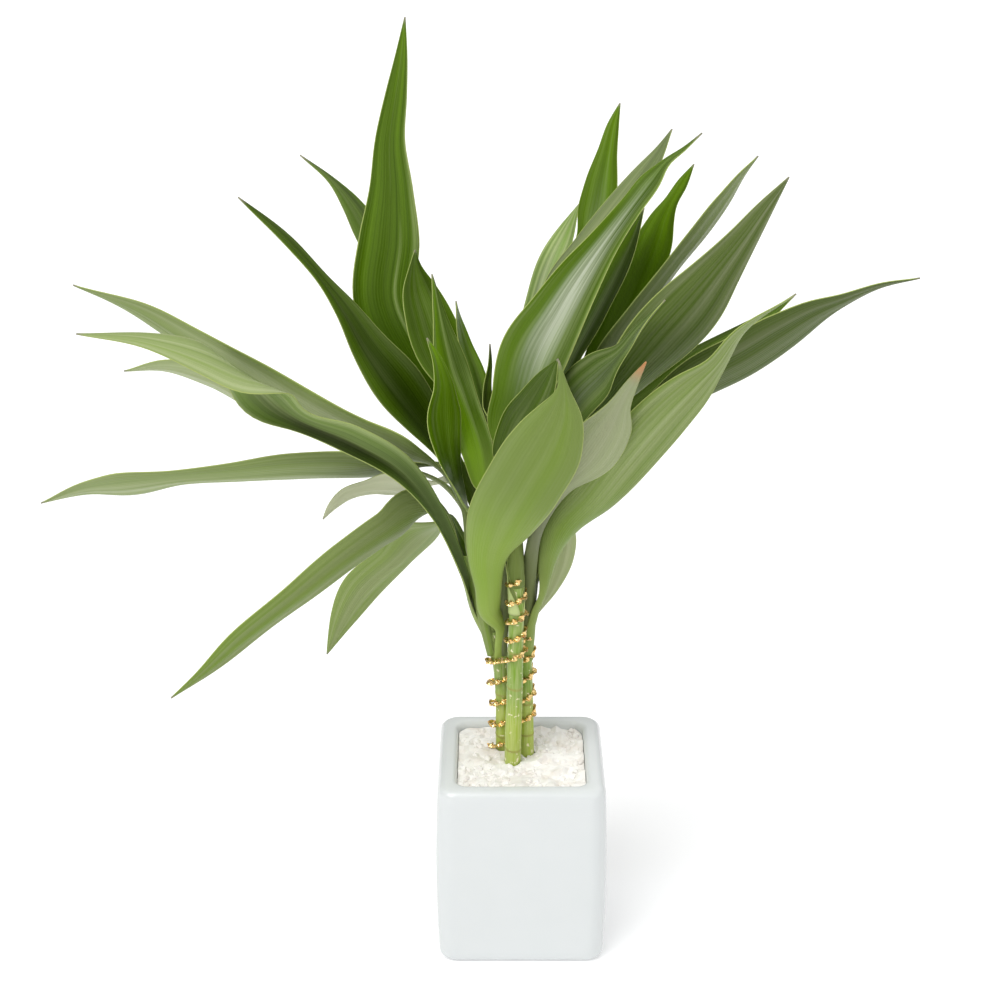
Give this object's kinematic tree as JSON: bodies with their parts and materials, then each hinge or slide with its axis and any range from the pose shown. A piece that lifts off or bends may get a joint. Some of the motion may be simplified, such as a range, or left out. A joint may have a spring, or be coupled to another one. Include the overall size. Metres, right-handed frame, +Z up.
{
  "type": "potted dracaena",
  "caption": "Leafy houseplant on upright green canes bound with gold wire, growing from white stone chips in a small white square ceramic planter.",
  "frame": {"origin": "middle of the planter's flat base", "axes": "+Z up, away from the base; the pictured front faces -Y"},
  "size_m": [0.4118, 0.1649, 0.44],
  "materials": {
    "white_glaze": "smooth white glaze",
    "growing_medium": "dark peat",
    "white_stone_chips": "crushed white marble",
    "green_cane": "smooth living green bark",
    "leaf_green": "satin living leaf",
    "gold_foil_wire": "shiny gold foil"
  },
  "bodies": {
    "root": {"planter": "white_glaze", "growing_medium": "growing_medium", "stone_chips": "white_stone_chips", "cane_left": "green_cane", "cane_front": "green_cane", "cane_right": "green_cane", "wire_tie_left_front": "gold_foil_wire", "wire_tie_right": "gold_foil_wire", "leaf_left_01": "leaf_green", "leaf_left_02": "leaf_green", "leaf_left_03": "leaf_green", "leaf_left_04": "leaf_green", "leaf_left_05": "leaf_green", "leaf_left_06": "leaf_green", "leaf_left_07": "leaf_green", "leaf_left_08": "leaf_green", "leaf_front_01": "leaf_green", "leaf_front_02": "leaf_green", "leaf_front_03": "leaf_green", "leaf_front_04": "leaf_green", "leaf_front_05": "leaf_green", "leaf_front_06": "leaf_green", "leaf_front_07": "leaf_green", "leaf_front_08": "leaf_green", "leaf_front_09": "leaf_green", "leaf_front_10": "leaf_green", "leaf_front_11": "leaf_green", "leaf_front_12": "leaf_green", "leaf_front_13": "leaf_green", "leaf_right_01": "leaf_green", "leaf_right_02": "leaf_green", "leaf_right_03": "leaf_green", "leaf_right_04": "leaf_green", "leaf_right_05": "leaf_green", "leaf_right_06": "leaf_green", "leaf_right_07": "leaf_green", "leaf_right_08": "leaf_green", "leaf_right_09": "leaf_green", "leaf_right_10": "leaf_green"}
  },
  "joints": []
}
